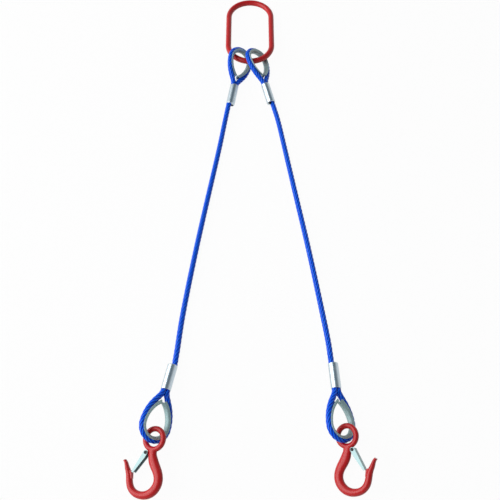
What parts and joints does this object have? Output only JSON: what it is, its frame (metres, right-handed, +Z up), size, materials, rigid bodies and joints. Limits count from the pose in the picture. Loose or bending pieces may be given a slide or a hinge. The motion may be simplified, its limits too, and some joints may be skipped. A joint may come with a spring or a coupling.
{
  "type": "wire rope sling",
  "caption": "Two-leg lifting sling: oblong master link, plastic-coated wire ropes with thimble eyes and pressed ferrules, and forged eye hooks with sprung safety latches.",
  "frame": {"origin": "bearing point inside the crown of the master link, on the bar's centre plane", "axes": "+Y from the hooks towards the link's crown, +Z up from the surface that the sling lies on, +X to the right seen from the hooks"},
  "size_m": [0.4184, 1.0764, 0.049],
  "materials": {
    "red_paint": "gloss",
    "blue_coat": "gloss",
    "zinc_sheet": "satin zinc plating",
    "aluminium": "pressed, satin",
    "rivet_steel": "blackened",
    "spring_wire": "blackened"
  },
  "bodies": {
    "link": {"master_link": "red_paint"},
    "leg_left": {"rope_eye_upper_left": "blue_coat", "thimble_upper_left": "zinc_sheet", "ferrule_upper_left": "aluminium", "rope_eye_lower_left": "blue_coat", "thimble_lower_left": "zinc_sheet", "ferrule_lower_left": "aluminium", "rope_left": "blue_coat"},
    "hook_left": {"hook_left": "red_paint", "latch_rivet_left": "rivet_steel"},
    "latch_left": {"latch_left": "zinc_sheet", "latch_spring_left": "spring_wire"},
    "leg_right": {"rope_eye_upper_right": "blue_coat", "thimble_upper_right": "zinc_sheet", "ferrule_upper_right": "aluminium", "rope_eye_lower_right": "blue_coat", "thimble_lower_right": "zinc_sheet", "ferrule_lower_right": "aluminium", "rope_right": "blue_coat"},
    "hook_right": {"hook_right": "red_paint", "latch_rivet_right": "rivet_steel"},
    "latch_right": {"latch_right": "zinc_sheet", "latch_spring_right": "spring_wire"}
  },
  "joints": [
    {"name": "leg_swing_left", "type": "hinge", "parent": "link", "child": "leg_left", "pos_m": [0, -0.1295, 0.01137], "axis": [0, 0.0875, 0.9962], "range_deg": [-45, 1]},
    {"name": "hook_swing_left", "type": "hinge", "parent": "leg_left", "child": "hook_left", "pos_m": [-0.1592, -0.9701, 0.0167], "axis": [0.3531, 0.0106, -0.9355], "range_deg": [-70, 70]},
    {"name": "latch_pivot_left", "type": "hinge", "parent": "hook_left", "child": "latch_left", "pos_m": [-0.17101, -0.99128, 0.012], "axis": [0.3531, 0.0106, -0.9355], "range_deg": [-42, 0], "stiffness_Nm_per_rad": 0.03, "springref_deg": 34.38, "deforming": ["latch_spring_left"]},
    {"name": "leg_swing_right", "type": "hinge", "parent": "link", "child": "leg_right", "pos_m": [0, -0.1295, 0.01137], "axis": [0, 0.0875, 0.9962], "range_deg": [-1, 45]},
    {"name": "hook_swing_right", "type": "hinge", "parent": "leg_right", "child": "hook_right", "pos_m": [0.1625, -0.9646, 0.01263], "axis": [-0.5546, -0.0211, 0.8319], "range_deg": [-70, 70]},
    {"name": "latch_pivot_right", "type": "hinge", "parent": "hook_right", "child": "latch_right", "pos_m": [0.17076, -0.98735, 0.01756], "axis": [-0.5546, -0.0211, 0.8319], "range_deg": [-42, 0], "stiffness_Nm_per_rad": 0.03, "springref_deg": 34.38, "deforming": ["latch_spring_right"]}
  ]
}
